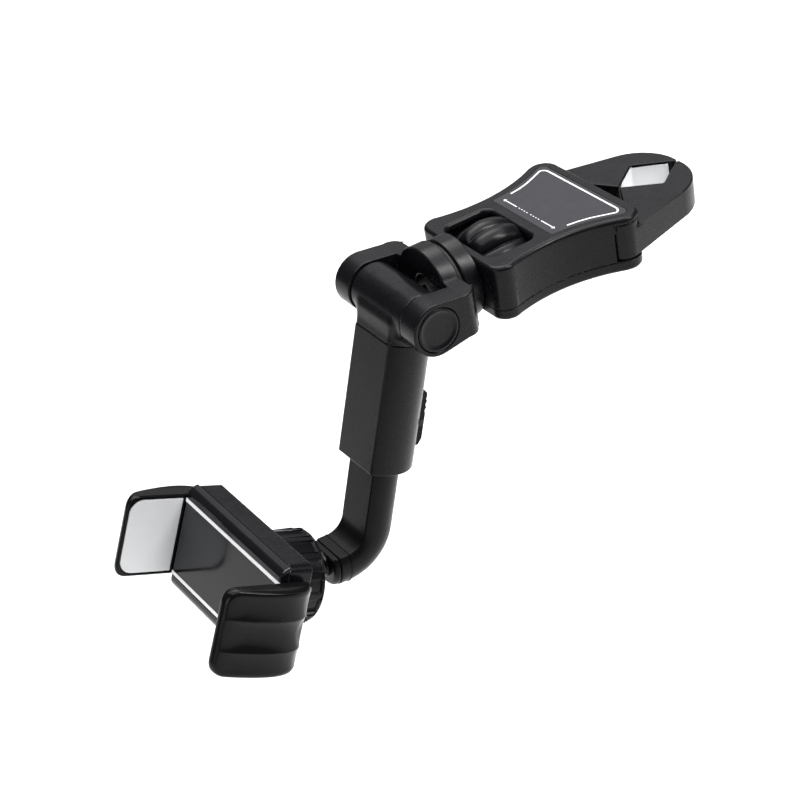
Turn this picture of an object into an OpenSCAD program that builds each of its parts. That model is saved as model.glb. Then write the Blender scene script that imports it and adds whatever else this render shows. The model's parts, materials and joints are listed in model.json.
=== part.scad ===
/* [Clip body] */
// Half of the clip body thickness, millimetres
body_half = 8.9; // [7:0.1:12]
// Half width of the body where the jaws are pinned
lobe_y = 19.2; // [16:0.1:23]
// Radius of the front lobes over the jaw pins
lobe_r = 5.3; // [4:0.1:7]
// Half width of the body at its waist
waist_y = 18.3; // [15:0.1:21]
// Thickness of the moulded walls
wall = 1.9; // [1.2:0.1:3]
// Height of the seam between the top and the bottom cover
seam_z = -5.3; // [-7:0.1:-4]

/* [Thumbwheel and screw] */
// Greatest radius of the thumbwheel
wheel_r = 12.1; // [11:0.1:12.2]
// Length of the thumbwheel along the screw
wheel_len = 15.8; // [10:0.1:16]
// Number of grip lobes round the thumbwheel
wheel_lobes = 9; // [6:1:14]
// Crest radius of the lead screw
screw_r = 2.95; // [2:0.05:4]

/* [Jaws] */
// Half length of the diamond opening, along the body
gap_x = 10.8; // [7:0.1:14]
// Half width of the diamond opening
gap_y = 8.2; // [5:0.1:11]
// Radius of the rounded jaw noses
nose_r = 15.9; // [13:0.1:19]
// Distance from a jaw pin to its drive pin
lever_r = 11; // [8:0.1:13]
// Opening travel of each jaw, degrees
jaw_open = 22; // [10:1:26]
// Thickness of the rubber jaw pads
pad_t = 1.4; // [0.8:0.1:2.5]

/* [Swivel and fork] */
// Radius of the swivel neck disc
neck_r = 13; // [11:0.1:15]
// Radius of the fork ring
ring_r = 13.5; // [11:0.1:15]
// Inner distance of the fork ears from the middle
ear_in = 13.9; // [12:0.1:16]
// Outer distance of the fork ears from the middle
ear_out = 21.9; // [18:0.1:25]
// Radius of the fork ears round the hinge
ear_r = 8.3; // [7:0.1:10]

/* [Arm] */
// Lean of the arm from straight down, degrees
arm_lean = 19.4; // [0:0.1:60]
// Outer radius of the sleeve
sleeve_r = 11.6; // [10:0.1:13]
// Distance of the sleeve's flat face from its centre line
sleeve_flat = 7; // [6:0.1:9]
// Distance from the hinge to the lower end of the sleeve
sleeve_end = 50.5; // [40:0.1:60]
// Radius of the sliding arm
slide_r = 7.9; // [6:0.1:9]
// Distance of the sliding arm's flat from its centre line
slide_flat = 4.3; // [3:0.1:6]
// Distance from the hinge to the start of the bend
bend_start = 71.2; // [60:0.1:90]
// Radius of the bend on the centre line
bend_r = 10.8; // [10:0.1:20]
// Angle of the bend, degrees
bend_angle = 75.5; // [45:0.5:90]

/* [Ball joint] */
// Radius of the ball
ball_r = 8.5; // [7:0.1:10]
// Distance from the end of the bend to the ball centre
neck_len = 15.9; // [14:0.1:19]
// Radius of the ring nut under its ribs
nut_r = 13.6; // [12:0.1:15]
// Number of ribs on the ring nut
nut_ribs = 14; // [8:1:20]

/* [Cradle] */
// Tilt of the cradle face, degrees
face_tilt = 25.1; // [0:0.1:60]
// Half width of the cradle housing
case_x = 28.4; // [24:0.1:32]
// Half height of the cradle housing
case_y = 17.4; // [14:0.1:20]
// Depth of the cradle housing
case_z = 10.4; // [10:0.1:16]
// Gap between a clamp arm's inner plane and the middle, arms closed
grip_x = 29; // [27:0.1:34]
// Height of the clamp arms above the cradle face
grip_z = 19.6; // [14:0.1:24]
// Half width of the clamp arms
grip_y = 13.8; // [10:0.1:16]
// Travel of each clamp arm
grip_travel = 16; // [8:0.5:18]
// Distance of the ball centre behind the cradle face
ball_back = 24.46; // [22:0.01:30]

/* [Hidden] */
$fn = 72;
e = 0.01;
// body outline
rear_x = -70.5;
front_x = -19.6;
waist_x = -50.1;
rear_r = 4.8;
rear_y = 15.9;
lobe_x = front_x - lobe_r;
waist_r = 47.8;
waist_c = [waist_x, waist_y + waist_r];
// lap between neighbouring arcs of the outline, degrees
arc_lap = 3;
jaw_top = 4;
jaw_bot = -5;
roof_z = 4.3;
wall_end_x = -31.6;
// thumbwheel window
win_a = -68.1;
win_b = -49.4;
win_y = 13.6;
win_bev = 1.1;
wheel_b = -50.8;
wheel_a = wheel_b - wheel_len;
web_a = -50.5;
web_b = -48.9;
// jaws
pin_x = lobe_x;
pin_y = lobe_y;
drive_a = jaw_open / 2;
drive_x = pin_x - lever_r * sin(drive_a);
drive_y = pin_y - lever_r * cos(drive_a);
boss_r = 5.1;
boss_top = 6.8;
nose_c = [-3.9, 1.7];
tip_gap = 0.45;
drive_r = 1.5;
// swivel and hinge
hinge_x = -92.5;
neck_a = -76;
ring_b = -77.4;
ring_a = -83;
cap_r = 6.8;
arm_z = 7;
barrel_r = 7.9;
barrel_y = 13.4;
// sleeve and sliding arm share a centre line set off towards the flat
shift = 0.6;
seam_s = 9;
fit = 0.08;
slide_top = 26;
// ball joint
liner_r = 8.93;
cup_r = 9.43;
bowl_r = 9.49;
stud_r = 3.7;
// clamp drive
gear_n = 10;
gear_m = 1;
gear_r = gear_n * gear_m / 2;
tooth_p = PI * gear_m;
rail_y = 11;
rail_in = 6.3;
rail_z = -8.7;
rail_t = 3;
post_x = -21.5;
lug_x = -10;
spring_y = 12.9;
boss_x = 24.8;
boss_y = 14;
back_wall = 1.4;
bevel_u = 1.7;
bevel_n = 2.9;
// nut and socket about the ball centre
nut_front = -12.9;
nut_rim = 14.1;
rim_z = 2.45;
lip_z = 4.8;
socket_top = 3.9;
socket_drop = 0.9;
// straight end of the sliding arm and its collar
end_ext = 3.3;
collar_len = 2.2;
stud_hole = 2.5;
stud_in = 3;

// ---- frames and helpers ----
module arm_frame() { translate([hinge_x, 0, 0]) rotate([0, 180 + arm_lean, 0]) children(); }
end_local = [shift + bend_r - bend_r * cos(bend_angle), 0, bend_start + bend_r * sin(bend_angle)];
module bend_frame() { translate([shift + bend_r, 0, bend_start]) rotate([90, 0, 180]) children(); }
module end_frame() { arm_frame() translate(end_local) rotate([0, bend_angle, 0]) children(); }
function arm_to_world(p) = [hinge_x - p[0] * cos(arm_lean) - p[2] * sin(arm_lean), p[1],
                            p[0] * sin(arm_lean) - p[2] * cos(arm_lean)];
ball = arm_to_world(end_local + neck_len * [sin(bend_angle), 0, cos(bend_angle)]);
module cradle_frame() {
    translate(ball) rotate([0, face_tilt - 90, 0]) rotate([0, 0, -90])
        translate([0, socket_drop, ball_back]) children();
}
module along_x(a, b, r) { translate([a, 0, 0]) rotate([0, 90, 0]) cylinder(r = r, h = b - a); }
module along_y(a, b, r) { translate([0, a, 0]) rotate([-90, 0, 0]) cylinder(r = r, h = b - a); }
module slab(z0, z1) { translate([0, 0, z0]) linear_extrude(z1 - z0) children(); }
module both_y() {
    children();
    mirror([0, 1, 0]) children();
}
module rounded(x, y, r) {
    square([2 * x, 2 * (y - r)], center = true);
    square([2 * (x - r), 2 * y], center = true);
    for (i = [-1, 1], j = [-1, 1]) translate([i * (x - r), j * (y - r)]) circle(r);
}
function direction(v) = atan2(v[1], v[0]);
// Close-wound spring as one ribbed tube along Z, centred: radii r0 to r1, length l, n turns
module coil(r0, r1, l, n) {
    p = l / n;
    rotate_extrude($fn = 32) polygon(concat([[r0, -l / 2]],
        [for (i = [0:n - 1]) each [[r1 - 0.25, -l / 2 + i * p], [r1, -l / 2 + (i + 0.5) * p]]],
        [[r1 - 0.25, l / 2], [r0, l / 2]]));
}

// ---- clip body ----
// All that lies outside the circle r round c, between the directions a0 and a1
module corner_cut(c, r, a0, a1) {
    difference() {
        polygon([c, for (i = [0:3]) c + 60 * [cos(a0 + i * (a1 - a0) / 3), sin(a0 + i * (a1 - a0) / 3)]]);
        translate(c) circle(r);
    }
}
// Outline of the body, pulled in by o
module outline(o = 0) {
    rc = [rear_x + rear_r, rear_y];
    fc = [lobe_x, lobe_y];
    difference() {
        translate([rear_x + o, -30]) square([front_x - rear_x - 2 * o, 60]);
        both_y() {
            translate(waist_c) circle(waist_r + o, $fn = 200);
            corner_cut(rc, rear_r - o, direction(waist_c - rc) - arc_lap, 180 + arc_lap);
            corner_cut(fc, lobe_r - o, -arc_lap, direction(waist_c - fc) + arc_lap);
        }
    }
}
module window_cut() {
    mx = (win_a + win_b) / 2;
    hx = (win_b - win_a) / 2;
    slab(-20, 20) translate([mx, 0]) rounded(hx - win_bev, win_y - win_bev, 3);
    for (s = [-1, 1]) scale([1, 1, s]) translate([mx, 0, body_half - win_bev])
        intersection() {
            rotate([90, 0, 0]) translate([0, 0, -win_y]) linear_extrude(2 * win_y)
                polygon([[-hx + win_bev, 0], [hx - win_bev, 0], [hx + e, win_bev + e], [hx + e, 4],
                         [-hx - e, 4], [-hx - e, win_bev + e]]);
            rotate([90, 0, 90]) translate([0, 0, -hx]) linear_extrude(2 * hx)
                polygon([[-win_y + win_bev, 0], [win_y - win_bev, 0], [win_y + e, win_bev + e],
                         [win_y + e, 4], [-win_y - e, 4], [-win_y - e, win_bev + e]]);
        }
}
screw_at = [[-65.2, 15.7], [-45.5, 14.3]];
module screw_sites() { for (p = screw_at) both_y() translate([p[0], p[1], 0]) children(); }
module pin_sites() { both_y() translate([pin_x, pin_y, 0]) children(); }
module neck_slot() {
    along_x(rear_x - 1, -68, 6.1);
    translate([-68.65, -9.1, -6.3]) cube([1.75, 18.2, 12.6]);
}
module top_cover() {
    color([0.05, 0.05, 0.055]) difference() {
        union() {
            difference() {
                slab(seam_z, body_half) outline();
                slab(seam_z - 1, body_half - 2) intersection() {
                    outline(wall);
                    translate([-69, -40]) square([69 + wall_end_x, 80]);
                }
                // open front: the jaws swing out under the roof
                slab(seam_z - 1, roof_z) translate([wall_end_x - e, -40]) square([40, 80]);
            }
            screw_sites() slab(seam_z, body_half - 1) circle(2.7);
            // web that carries the lead screw and takes the thrust of the wheel
            translate([web_a, -17.2, seam_z]) cube([web_b - web_a, 34.4, body_half - seam_z - 1]);
        }
        window_cut();
        along_x(web_a - 1, web_b + 1, screw_r + 0.06);
        slab(body_half - 0.5, body_half + 1) intersection() {
            outline(3.2);
            translate([-46.8, -40]) square([40, 80]);
        }
        screw_sites() slab(seam_z - 1, 2) circle(1.15);
        pin_sites() {
            slab(seam_z - 1, boss_top + 0.2) circle(lobe_r + 0.6);
            slab(0, 8) circle(2.05);
        }
        neck_slot();
    }
}
module bottom_cover() {
    color([0.05, 0.05, 0.055]) difference() {
        slab(-body_half, seam_z) outline();
        slab(-body_half + 2, seam_z + 1) intersection() {
            outline(wall);
            translate([web_b + 3, -40]) square([wall_end_x - web_b - 6, 80]);
        }
        window_cut();
        screw_sites() {
            slab(-20, 0) circle(1.3);
            slab(-20, -body_half + 1.5) circle(2.3);
        }
        pin_sites() {
            slab(-20, 0) circle(2.05);
            slab(-20, -body_half + 1.9) circle(3.55);
        }
        neck_slot();
    }
}
module label_plate() {
    color([0.2, 0.195, 0.21]) slab(body_half - 0.5, body_half - 0.05) intersection() {
        outline(3.35);
        translate([-46.65, -40]) square([40, 80]);
    }
}
module pivot_screws() {
    color([0.5, 0.5, 0.52]) pin_sites() {
        slab(-body_half + 1, 7.9) circle(2.05);
        difference() {
            slab(-body_half + 0.3, -body_half + 1.9) circle(3.5);
            slab(-body_half - 1, -body_half + 1.2) circle(1.6, $fn = 6);
        }
    }
}
module cover_screws() {
    color([0.45, 0.45, 0.47]) screw_sites() {
        slab(-body_half + 1, 1.9) circle(1.15);
        difference() {
            slab(-body_half + 0.2, -body_half + 1.5) circle(2.2);
            slab(-body_half - 1, -body_half + 0.9) { square([2.6, 0.6], center = true);
                square([0.6, 2.6], center = true); }
        }
    }
}
module swivel_neck() {
    color([0.055, 0.055, 0.06]) difference() {
        union() {
            along_x(neck_a, rear_x - 0.05, neck_r);
            along_x(rear_x - 1, -67, 6);
            translate([-68.55, -9, -6.2]) cube([1.55, 18, 12.4]);
        }
        along_x(neck_a - 1, -60, 2.1);
        translate([-74.4, 0, 0]) rotate([0, 90, 0]) cylinder(r = 4.1, h = 20, $fn = 6);
    }
}
module swivel_bolt() {
    color([0.5, 0.5, 0.52]) difference() {
        union() {
            along_x(-82.6, -69.2, 2);
            along_x(-82.7, -80.8, 4.1);
        }
        translate([-83, 0, 0]) rotate([0, 90, 0]) cylinder(r = 1.8, h = 1.5, $fn = 6);
    }
}
module swivel_nut() {
    color([0.6, 0.6, 0.62]) difference() {
        translate([-74.35, 0, 0]) rotate([0, 90, 0]) cylinder(r = 4.04, h = 3.1, $fn = 6);
        along_x(-80, -60, 2);
    }
}
module spring_washer() {
    color([0.6, 0.6, 0.62]) difference() {
        along_x(-80.8, -80.05, 4.4);
        along_x(-90, -70, 2.05);
    }
}
module swivel_ring() {
    color([0.03, 0.03, 0.03]) difference() {
        along_x(ring_b + 0.05, neck_a, 12);
        along_x(-90, -70, 2.1);
    }
}

// ---- thumbwheel, lead screw and crosshead ----
module thumbwheel() {
    color([0.06, 0.06, 0.065]) difference() {
        translate([wheel_a, 0, 0]) rotate([0, 90, 0]) rotate_extrude($fn = 96)
            polygon([[4, 0], [wheel_r - 2.4, 0], [wheel_r - 1.5, 0.9], [wheel_r - 0.7, wheel_len * 0.22],
                     [wheel_r, wheel_len * 0.5], [wheel_r - 0.7, wheel_len * 0.78],
                     [wheel_r - 1.5, wheel_len - 0.9], [wheel_r - 2.4, wheel_len], [4, wheel_len]]);
        for (i = [0:wheel_lobes - 1]) rotate([i * 360 / wheel_lobes + 20, 0, 0])
            translate([wheel_a - 1, 0, wheel_r + 1.4]) rotate([0, 90, 0])
                cylinder(r = 2.7, h = wheel_len + 2, $fn = 32);
    }
}
module wheel_insert() {
    color([0.72, 0.58, 0.3]) difference() {
        along_x(wheel_a, wheel_b, 4);
        along_x(wheel_a - 1, wheel_b + 1, screw_r + 0.05);
    }
}
module lead_screw() {
    color([0.62, 0.62, 0.64]) {
        translate([-65.5, 0, 0]) rotate([0, 90, 0]) rotate_extrude()
            polygon(concat([[0, 0], [2.3, 0]],
                [for (i = [0:15]) each [[screw_r, 0.75 + i], [2.45, 1.25 + i]]],
                [[screw_r, 17.2], [screw_r, 25], [2.4, 25.6], [0, 25.6]]));
        along_x(-41, -33.5, 2.4);
    }
}
module crosshead() {
    color([0.3, 0.3, 0.32]) difference() {
        union() {
            translate([-39.8, -6, jaw_bot]) cube([9.8, 12, 8.6]);
            translate([-30.2, -11.6, -0.4]) cube([6.2, 23.2, jaw_top + 0.2]);
            translate([-36, -2.5, -0.4]) cube([12, 5, jaw_top + 0.2]);
        }
        along_x(-41, -33.5, 2.4);
        both_y() slab(-1, 6) {
            translate([drive_x - drive_r - 0.06, drive_y - 0.5]) square([2 * drive_r + 0.12, 0.9]);
            translate([drive_x, drive_y - 0.5]) circle(drive_r + 0.06);
            translate([drive_x, drive_y + 0.4]) circle(drive_r + 0.06);
        }
    }
}

// ---- jaws ----
// Outline of the left jaw seen from above
module jaw_outline() {
    p = [pin_x, pin_y];
    v = p - nose_c;
    a = atan2(v[1], v[0]) - acos((nose_r - boss_r) / norm(v));
    n = [cos(a), sin(a)];
    n2 = [cos(a + 6), sin(a + 6)];
    difference() {
        union() {
            translate(p) circle(boss_r);
            polygon([p, p + n * (boss_r - 0.02), nose_c + n * (nose_r - 0.02), nose_c, [-22, 8]]);
            intersection() {
                translate(nose_c) circle(nose_r, $fn = 120);
                polygon([nose_c + n2 * nose_r * 1.2, nose_c, [nose_c[0], 0], [30, 0], [30, 40]]);
            }
            polygon([nose_c, [-22, 8], [-12, 0], [nose_c[0], 0]]);
        }
        polygon([[30, -5], [30, tip_gap], [gap_x - 0.3, tip_gap], [0, gap_y], [-gap_x + 0.5, tip_gap],
                 [-gap_x - 0.2, tip_gap], [-14, 5.6], [-17.6, 11.6], [-21.6, 14.9], [-40, 14.9],
                     [-40, -5]]);
    }
}
module pad_outline(o = 0) {
    k = 1 / cos(atan(gap_y / gap_x));
    x = 9.2;
    y = gap_y * (1 - x / gap_x);
    polygon([[-x, y - o], [0, gap_y - o], [x, y - o], [x, y + pad_t * k], [0, gap_y + pad_t * k],
             [-x, y + pad_t * k]]);
}
module jaw() {
    difference() {
        union() {
            slab(jaw_bot, jaw_top) jaw_outline();
            slab(jaw_bot, boss_top) translate([pin_x, pin_y]) circle(boss_r);
            // lever to the drive pin, under the crosshead
            slab(jaw_bot, -0.7) {
                translate([drive_x, drive_y]) circle(2.9);
                polygon([[drive_x - 2.9, drive_y - 0.4], [drive_x + 2.85, drive_y + 0.5],
                         [pin_x + 4.2, pin_y - 2], [pin_x - 4.5, pin_y - 1.2]]);
            }
        }
        slab(jaw_bot - 1, boss_top + 1) translate([pin_x, pin_y]) circle(2.12);
        slab(jaw_bot + 0.6, 2) translate([drive_x, drive_y]) circle(drive_r);
        slab(jaw_bot + 0.8, jaw_top - 0.8) pad_outline(0.6);
    }
}
module jaw_left() { color([0.06, 0.06, 0.065]) jaw(); }
module jaw_right() { color([0.06, 0.06, 0.065]) mirror([0, 1, 0]) jaw(); }
module jaw_pad() { slab(jaw_bot + 0.8, jaw_top - 0.8) pad_outline(); }
module jaw_pad_left() { color([0.78, 0.79, 0.8]) jaw_pad(); }
module jaw_pad_right() { color([0.78, 0.79, 0.8]) mirror([0, 1, 0]) jaw_pad(); }
module drive_pin() { slab(jaw_bot + 0.6, jaw_top - 0.4) translate([drive_x, drive_y]) circle(drive_r); }
module drive_pin_left() { color([0.62, 0.62, 0.64]) drive_pin(); }
module drive_pin_right() { color([0.62, 0.62, 0.64]) mirror([0, 1, 0]) drive_pin(); }

// ---- fork ----
// Side view of a fork arm from its ear to the ring
module arm_side(x1) {
    polygon([[hinge_x, ear_r], [hinge_x + 1.5, ear_r - 0.1], [ring_a, arm_z], [x1, arm_z],
             [x1, -arm_z], [ring_a, -arm_z], [hinge_x + 1.5, -ear_r + 0.1], [hinge_x, -ear_r]]);
}
module yoke() {
    color([0.055, 0.055, 0.06]) difference() {
        union() {
            along_x(ring_a, ring_b, ring_r);
            both_y() {
                translate([hinge_x, 0, 0]) along_y(ear_in, ear_out, ear_r);
                translate([0, ear_in, 0]) rotate([-90, 0, 0]) linear_extrude(ear_out - ear_in - 3.2)
                    arm_side(ring_b - 0.4);
                intersection() {
                    translate([0, ear_in, 0]) rotate([-90, 0, 0]) linear_extrude(ear_out - ear_in)
                        arm_side(-70);
                    slab(-10, 10) {
                        polygon([[-100, ear_in], [-100, ear_out], [-82, ear_out], [-81.2, 18.2],
                                 [ring_b - 0.4, 18.2], [ring_b - 0.4, ear_in]]);
                        translate([-82, 17.7]) circle(4.2);
                    }
                }
                translate([ring_a, 10, -arm_z]) cube([ring_b - 0.4 - ring_a, 5, 2 * arm_z]);
            }
        }
        along_x(-90, -70, 2.12);
        along_x(-90, -80, 4.9);
        translate([hinge_x, 0, 0]) both_y() {
            along_y(ear_in - 1, ear_out + 1, 2.55);
            along_y(ear_out - 1.9, ear_out + 1, cap_r + 0.1);
            along_y(ear_in + 3, ear_out, 4.7);
        }
    }
}
module hinge_bolt() {
    color([0.5, 0.5, 0.52]) translate([hinge_x, 0, 0]) difference() {
        union() {
            along_y(-19.6, 19.4, 2.45);
            along_y(-19.7, -16.95, 4.4);
        }
        translate([0, -19.8, 0]) rotate([-90, 0, 0]) cylinder(r = 2.2, h = 1.6, $fn = 6);
    }
}
module hinge_nut() {
    color([0.6, 0.6, 0.62]) translate([hinge_x, 0, 0]) difference() {
        translate([0, ear_in + 3.05, 0]) rotate([-90, 0, 0]) cylinder(r = 4.6, h = 2.7, $fn = 6);
        along_y(0, 30, 2.45);
    }
}
module hinge_cap() {
    translate([hinge_x, ear_out, 0]) rotate([90, 0, 0]) rotate_extrude()
        polygon([[0, 0.45], [2.5, 0.4], [4.6, 0.2], [5.6, 0], [cap_r - 0.3, 0], [cap_r, 0.3], [cap_r, 1.8],
                 [0, 1.8]]);
}
module hinge_cap_left() { color([0.06, 0.06, 0.065]) hinge_cap(); }
module hinge_cap_right() { color([0.06, 0.06, 0.065]) mirror([0, 1, 0]) hinge_cap(); }
module hinge_washers() {
    color([0.12, 0.12, 0.12]) translate([hinge_x, 0, 0]) both_y() difference() {
        along_y(barrel_y + 0.05, ear_in, 6.6);
        along_y(0, 30, 2.6);
    }
}

// ---- upper arm ----
module d_section(r, flat) {
    translate([shift, 0]) difference() {
        circle(r, $fn = 96);
        translate([flat, -20]) square([20, 40]);
    }
}
module arm_head() {
    color([0.055, 0.055, 0.06]) arm_frame() difference() {
        union() {
            along_y(-barrel_y, barrel_y, barrel_r);
            slab(2, seam_s) d_section(sleeve_r, sleeve_flat);
            slab(seam_s - 1, 15) d_section(slide_r - 0.3, slide_flat - 0.3);
        }
        along_y(-20, 20, 2.52);
        translate([0, 0, 12]) rotate([0, -90, 0]) cylinder(r = 1.1, h = 20, center = true);
        // clearance for the fork ring when the arm swings under the clip
        translate([0, 20, 0]) rotate([90, 0, 0]) linear_extrude(40)
            polygon([[-barrel_r, 1.9], [-11.1, seam_s], [-20, seam_s], [-20, 1.9]]);
    }
}
module head_screw() {
    color([0.5, 0.5, 0.52]) arm_frame() translate([0, 0, 12]) rotate([0, -90, 0]) {
        translate([0, 0, -4]) cylinder(r = 1.1, h = 13.5);
        difference() {
            translate([0, 0, 9.2]) cylinder(r = 2.1, h = 1.3);
            translate([-1.3, -0.3, 9.9]) cube([2.6, 0.6, 2]);
        }
    }
}
lever_s = 37;
lever_n = -10.3;
module sleeve() {
    color([0.055, 0.055, 0.06]) arm_frame() difference() {
        slab(seam_s, sleeve_end) d_section(sleeve_r, sleeve_flat);
        slab(15.4, sleeve_end + 1) d_section(slide_r + fit, slide_flat + fit);
        slab(seam_s - 1, 15.5) d_section(slide_r - 0.25, slide_flat - 0.25);
        // slot for the lock lever
        translate([-20, -3.7, 27.4]) cube([20, 7.4, 19.8]);
        translate([0, 0, 12]) rotate([0, -90, 0]) {
            cylinder(r = 1.25, h = 20);
            translate([0, 0, 9.15]) cylinder(r = 2.2, h = 5);
        }
        translate([lever_n, 0, lever_s]) along_y(-6.1, 6.1, 1.05);
    }
}
module lock_lever() {
    color([0.06, 0.06, 0.065]) arm_frame() difference() {
        translate([0, 3.4, 0]) rotate([90, 0, 0]) linear_extrude(6.8)
            polygon([[-8.9, 28], [-9.1, 35], [-8.4, 40.5], [-8.4, 45.3], [-9.5, 46.4], [-12.2, 45.6],
                     [-13.2, 43.5], [-13.2, 30.2], [-12.8, 28.6], [-12, 27.8]]);
        translate([lever_n, 0, lever_s]) along_y(-6, 6, 1.08);
        translate([lever_n, 0, lever_s]) along_y(-1.6, 1.6, 2.3);
        // thumb grooves
        for (s = [30.5, 32.5, 34.5]) translate([-13.9, 0, s]) along_y(-5, 5, 1);
    }
}
module brake_pad() {
    color([0.15, 0.15, 0.15]) arm_frame() translate([0, 0, 40.9]) linear_extrude(4)
        difference() {
            translate([-8.4, -3]) square([2, 6]);
            translate([shift, 0]) circle(slide_r + 0.05, $fn = 96);
        }
}
module lever_pin() {
    color([0.6, 0.6, 0.62]) arm_frame() translate([lever_n, 0, lever_s]) along_y(-6, 6, 1.03);
}
module lever_spring() {
    color([0.65, 0.65, 0.67]) arm_frame() translate([lever_n, 0, lever_s])
        rotate([90, 0, 0]) coil(1.35, 2.0, 2.8, 5);
}

// ---- sliding arm and ball ----
module slide_profile(r, flat) { translate([bend_r, 0]) difference() { circle(r, $fn = 96);
    translate([-flat - 20, -20]) square([20, 40]); } }
module end_profile(r, flat) {
    difference() {
        circle(r, $fn = 96);
        translate([flat, -20]) square([20, 40]);
    }
}
module slide_arm() {
    color([0.055, 0.055, 0.06]) difference() {
        union() {
            arm_frame() slab(slide_top + 3, bend_start) d_section(slide_r, slide_flat);
            arm_frame() bend_frame() rotate_extrude(angle = bend_angle) slide_profile(slide_r, slide_flat);
            end_frame() slab(-0.8, end_ext) end_profile(slide_r - 0.03, slide_flat - 0.03);
        }
        arm_frame() slab(slide_top, 64) translate([shift, 0]) circle(4, $fn = 48);
        end_frame() slab(-stud_in, end_ext + 1) circle(stud_hole);
    }
}
module arm_end_plug() {
    color([0.85, 0.85, 0.82]) arm_frame() {
        slab(slide_top, slide_top + 2.98) d_section(slide_r, slide_flat);
        slab(slide_top + 2, slide_top + 8) translate([shift, 0]) circle(3.96, $fn = 48);
    }
}
module end_collar() {
    color([0.06, 0.06, 0.065]) end_frame() difference() {
        translate([0, 0, end_ext]) rotate_extrude($fn = 96)
            polygon([[0, 0], [slide_r - 0.35, 0], [slide_r - 0.35, collar_len - 1],
                     [slide_r - 1, collar_len - 0.2], [slide_r - 1.7, collar_len], [0, collar_len]]);
        translate([slide_flat - 0.15, -20, 0]) cube([20, 40, 20]);
        slab(0, 20) circle(stud_hole);
    }
}
module ball_stud() {
    color([0.08, 0.08, 0.085]) end_frame() {
        slab(-stud_in, end_ext + collar_len + 0.5) circle(stud_hole);
        slab(end_ext + collar_len, end_ext + collar_len + 1) circle(4.2);
        slab(end_ext + collar_len + 0.5, neck_len - 4) circle(stud_r);
        translate([0, 0, neck_len]) sphere(ball_r);
    }
}
// Part of a spherical shell round the ball, axis +Z towards the arm, open by the angle a there
module shell(r0, r1, a) {
    rotate_extrude($fn = 96) intersection() {
        difference() {
            circle(r1, $fn = 96);
            circle(r0, $fn = 96);
        }
        polygon([[0, -30], [30, -30], [30, 30 / tan(a)], [0, 0]]);
    }
}
module ball_liner() {
    color([0.9, 0.9, 0.87]) end_frame() translate([0, 0, neck_len]) rotate([180, 0, 0])
        shell(ball_r + 0.03, liner_r, 56);
}
module to_ball() { translate([0, -socket_drop, -ball_back]) rotate([180, 0, 0]) children(); }
module ball_frame() { cradle_frame() to_ball() children(); }
module socket_cup() { color([0.2, 0.2, 0.21]) ball_frame() shell(liner_r + 0.05, cup_r, 62); }

// ---- ring nut and cradle ----
module ring_nut() {
    color([0.06, 0.06, 0.065]) ball_frame() {
        rotate_extrude($fn = 96) polygon([[11.3, nut_front], [nut_r, nut_front], [nut_r, rim_z - 1.4],
            [nut_rim, rim_z - 1.4], [nut_rim, rim_z], [12.6, rim_z], [9.9, lip_z], [9.0, lip_z],
            [9.0, socket_top + 0.2], [11.3, 0.35]]);
        for (i = [0:nut_ribs - 1]) rotate([0, 0, i * 360 / nut_ribs])
            translate([nut_r - 0.6, -1.1, nut_front + 0.7]) cube([1.1, 2.2, rim_z - nut_front - 1.4]);
    }
}
module back_cover() {
    color([0.055, 0.055, 0.06]) cradle_frame() difference() {
        union() {
            slab(-case_z, -3) rounded(case_x, case_y, 2.5);
            to_ball() rotate_extrude($fn = 96)
                polygon([[0, -ball_back + case_z - 0.5], [11.2, -ball_back + case_z - 0.5], [11.2, 0.2],
                         [8.9, socket_top], [0, socket_top]]);
        }
        difference() {
            slab(-case_z + back_wall, 0) rounded(case_x - 1.8, case_y - 1.8, 1.5);
            slab(-case_z, 0) for (i = [-1, 1], j = [-1, 1]) translate([i * boss_x, j * boss_y]) circle(2.4);
            slab(-case_z, -6.2) circle(1.45);
            // posts that hold the springs
            for (s = [-1, 1]) slab(-case_z, -5) translate([s * post_x, -s * spring_y]) circle(1);
            // guide ribs outside the rails
            for (s = [-1, 1]) slab(-case_z, -5) translate([s * 21, -s * 12.3])
                square([8, 1.8], center = true);
        }
        // mouths for the rails
        for (s = [-1, 1]) translate([s * case_x, -s * (rail_y + rail_in) / 2, rail_z + rail_t / 2])
            cube([8, rail_y - rail_in + 0.3, rail_t + 0.3], center = true);
        slab(-case_z - 1, -3 + e) for (i = [-1, 1], j = [-1, 1])
            translate([i * boss_x, j * boss_y]) circle(1.1);
        slab(-case_z - 1, -case_z + 1.4) for (i = [-1, 1], j = [-1, 1])
            translate([i * boss_x, j * boss_y]) circle(2.1);
        to_ball() sphere(bowl_r, $fn = 96);
        // slits that let the socket close on the ball
        for (i = [0:2]) translate([0, -socket_drop, -ball_back - 6]) rotate([0, 0, 30 + i * 60])
            cube([40, 1, 14], center = true);
    }
}
module front_cover() {
    color([0.04, 0.04, 0.045]) cradle_frame() difference() {
        slab(-3, 0) rounded(case_x, case_y, 2.5);
        // bevel along the long edges
        for (s = [-1, 1]) translate([0, s * case_y, 0]) rotate([90, 0, 90])
            linear_extrude(80, center = true)
            polygon([[-s * bevel_u, 0], [0, -bevel_n], [s, -bevel_n], [s, 1], [-s * bevel_u, 1]]);
        for (s = [-1, 1]) translate([-case_x - 1, s * 12.1 - 0.55, -0.25]) cube([2 * case_x + 2, 1.1, 1]);
        slab(-4, -1.2) for (i = [-1, 1], j = [-1, 1]) translate([i * boss_x, j * boss_y]) circle(1.1);
    }
}
module trim_strips() {
    color([0.82, 0.82, 0.84]) cradle_frame()
        for (s = [-1, 1]) translate([-case_x, s * 12.1 - 0.55, -0.25]) cube([2 * case_x, 1.1, 0.25]);
}
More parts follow.
